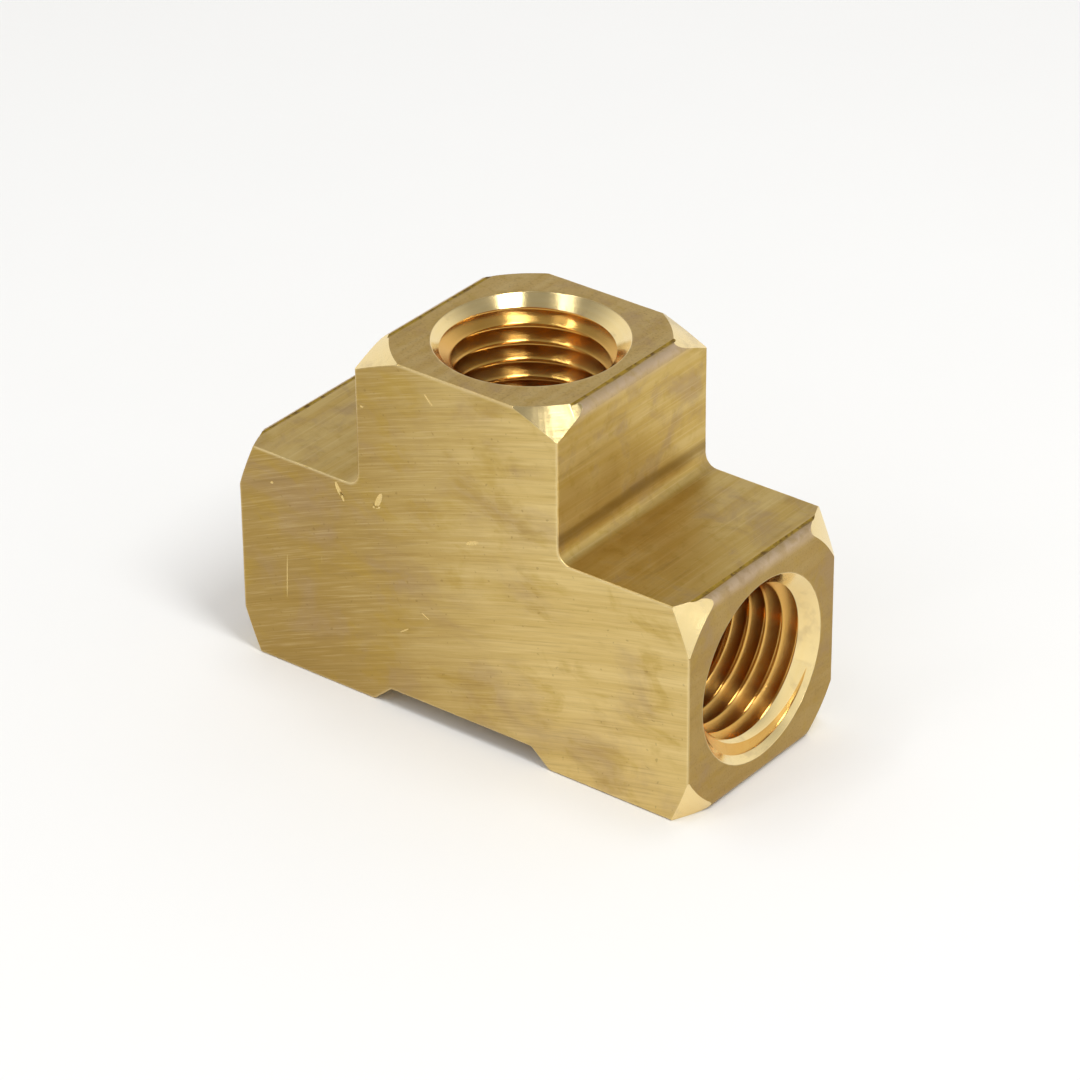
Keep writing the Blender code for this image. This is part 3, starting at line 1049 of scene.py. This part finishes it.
def studio_camera(stage):
    back = direction(stage.azimuth, stage.elevation)
    right = Vector((math.cos(stage.azimuth), math.sin(stage.azimuth), 0))
    upright = back.cross(right)
    cos, sin = math.cos(stage.roll), math.sin(stage.roll)
    right, upright = right * cos + upright * sin, upright * cos - right * sin
    place = Vector((0, 0, RUN_AXIS_HEIGHT)) + back * stage.distance
    place += right * stage.across + upright * stage.upward
    data = bpy.data.cameras.new("studio_camera")
    data.lens = stage.lens
    data.sensor_width = 36
    data.clip_start = 0.01
    camera = placed("studio_camera", data)
    turn = Matrix((right, upright, back)).transposed().to_4x4()
    camera.matrix_world = Matrix.Translation(place) @ turn
    bpy.context.scene.camera = camera


LIGHT_DISTANCE = 0.6
LIT_HEIGHT = 0.012  # the lights look at this height


def softbox(name, azimuth, elevation, width, height, power_in_watts):
    """A rectangular area light that looks at the tee from an azimuth and elevation in degrees."""
    data = bpy.data.lights.new(name, "AREA")
    data.shape = "RECTANGLE"
    data.size, data.size_y = width, height
    data.energy = power_in_watts
    light = placed(name, data)
    away = direction(math.radians(azimuth), math.radians(elevation))
    turn = away.to_track_quat("Z", "Y").to_matrix().to_4x4()
    place = Vector((0, 0, LIT_HEIGHT)) + away * LIGHT_DISTANCE
    light.matrix_world = Matrix.Translation(place) @ turn


def studio_lights(stage):
    """A key light at the right, strips in front and overhead, and a low light for the threads."""
    softbox("key_light", 76, 58, 0.155, 0.30, stage.key)
    softbox("first_strip", -17, 56, 0.020, 0.40, stage.fill)
    softbox("second_strip", -28, 56, 0.013, 0.40, stage.fill * 0.7)
    softbox("top_light", 160, 80, 0.14, 0.13, stage.top)
    softbox("top_strip", -70, 69, 0.25, 0.022, stage.fill)
    softbox("side_light", 97, 2.5, 0.06, 0.05, stage.side)


def floor_material(stage):
    material, tree, shader = started("pale_floor")
    vector = places(tree)[0]
    shade = noise(tree, vector, 60, 3, 0.5)
    fine = noise(tree, vector, 1800, 2, 0.5)
    low = [value * 0.985 for value in stage.floor]
    base = tinted(tree, shade, opaque(stage.floor), opaque(low))
    tree.links.new(base, shader.inputs["Base Color"])
    tree.links.new(between(tree, fine, 0.3, 0.7, 0.82, 0.9), shader.inputs["Roughness"])
    shader.inputs["Metallic"].default_value = 0.0
    return material


def studio_floor(stage):
    """A pale floor: a square grid at the height of the tee's feet."""
    line = np.linspace(-1.5, 1.5, 13)
    x, y = np.meshgrid(line, line, indexing="ij")
    points = np.stack([x, y, np.zeros_like(x)], axis=2).reshape(-1, 3)
    faces = grid_faces(len(line), len(line), turned=True)
    mesh = closed_mesh("studio_floor", points, faces, floor_material(stage))
    floor = placed("studio_floor", mesh)


def studio_world(stage):
    world = bpy.data.worlds.new("studio_room")
    world.use_nodes = True
    tree = world.node_tree
    background = tree.nodes["Background"]
    background.inputs["Color"].default_value = (1, 1, 1, 1)
    way = add(tree, "ShaderNodeTexCoord").outputs["Generated"]
    rise = add(tree, "ShaderNodeSeparateXYZ", {0: way}).outputs[2]
    strength = between(tree, rise, 0.35, 0.80, stage.surround, stage.ceiling)
    tree.links.new(strength, background.inputs["Strength"])
    bpy.context.scene.world = world


# ---- operators


class TeeBody(bpy.types.Operator):
    """Makes the brass tee from sawn bar, drilled, tapped, countersunk and chamfered"""

    bl_idname = "brass_tee.body"
    bl_label = "Make the tee body"

    def execute(self, context):
        scene = context.scene
        finishes = brass_finishes(scene.tee_finishes)
        mesh = tee_body_mesh(scene.tee_bar, scene.tee_port, finishes)
        tee = placed("tee_body_finished", mesh)
        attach(tee, "root")
        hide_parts(NODE)
        return {"FINISHED"}


class Studio(bpy.types.Operator):
    """Makes the pale floor, the plain room, the soft lights and the camera"""

    bl_idname = "brass_tee.studio"
    bl_label = "Make the studio"

    def execute(self, context):
        stage = context.scene.tee_stage
        studio_camera(stage)
        studio_floor(stage)
        studio_world(stage)
        studio_lights(stage)
        context.scene.view_settings.view_transform = "Standard"
        return {"FINISHED"}


class TeePanel(bpy.types.Panel):
    """Sizes and finishes of the brass tee"""

    bl_idname = "VIEW3D_PT_brass_tee"
    bl_label = "Brass Pipe Tee"
    bl_space_type = "VIEW_3D"
    bl_region_type = "UI"
    bl_category = "Brass Tee"

    def draw(self, context):
        for name in GROUPS:
            box = self.layout.box()
            group = getattr(context.scene, name)
            box.label(text=GROUPS[name][1])
            for key in group.bl_rna.properties.keys():
                if key not in {"rna_type", "name"}:
                    box.prop(group, key)
        for operator in OPERATORS:
            self.layout.operator(operator.bl_idname)


GROUPS = {
    "tee_bar": (BarSizes, "Bar"),
    "tee_port": (PortSizes, "Ports"),
    "tee_finishes": (Finishes, "Finishes"),
    "tee_stage": (StageSizes, "Studio"),
}
OPERATORS = (TeeBody, Studio)


def register():
    for name, (group, _) in GROUPS.items():
        bpy.utils.register_class(group)
        setattr(bpy.types.Scene, name, PointerProperty(type=group))
    for operator in OPERATORS:
        bpy.utils.register_class(operator)
    bpy.utils.register_class(TeePanel)


def unregister():
    bpy.utils.unregister_class(TeePanel)
    for operator in reversed(OPERATORS):
        bpy.utils.unregister_class(operator)
    for name, (group, _) in reversed(GROUPS.items()):
        delattr(bpy.types.Scene, name)
        bpy.utils.unregister_class(group)


def main():
    register()
    bpy.ops.brass_tee.body()
    bpy.ops.brass_tee.studio()


if __name__ == "__main__":
    main()
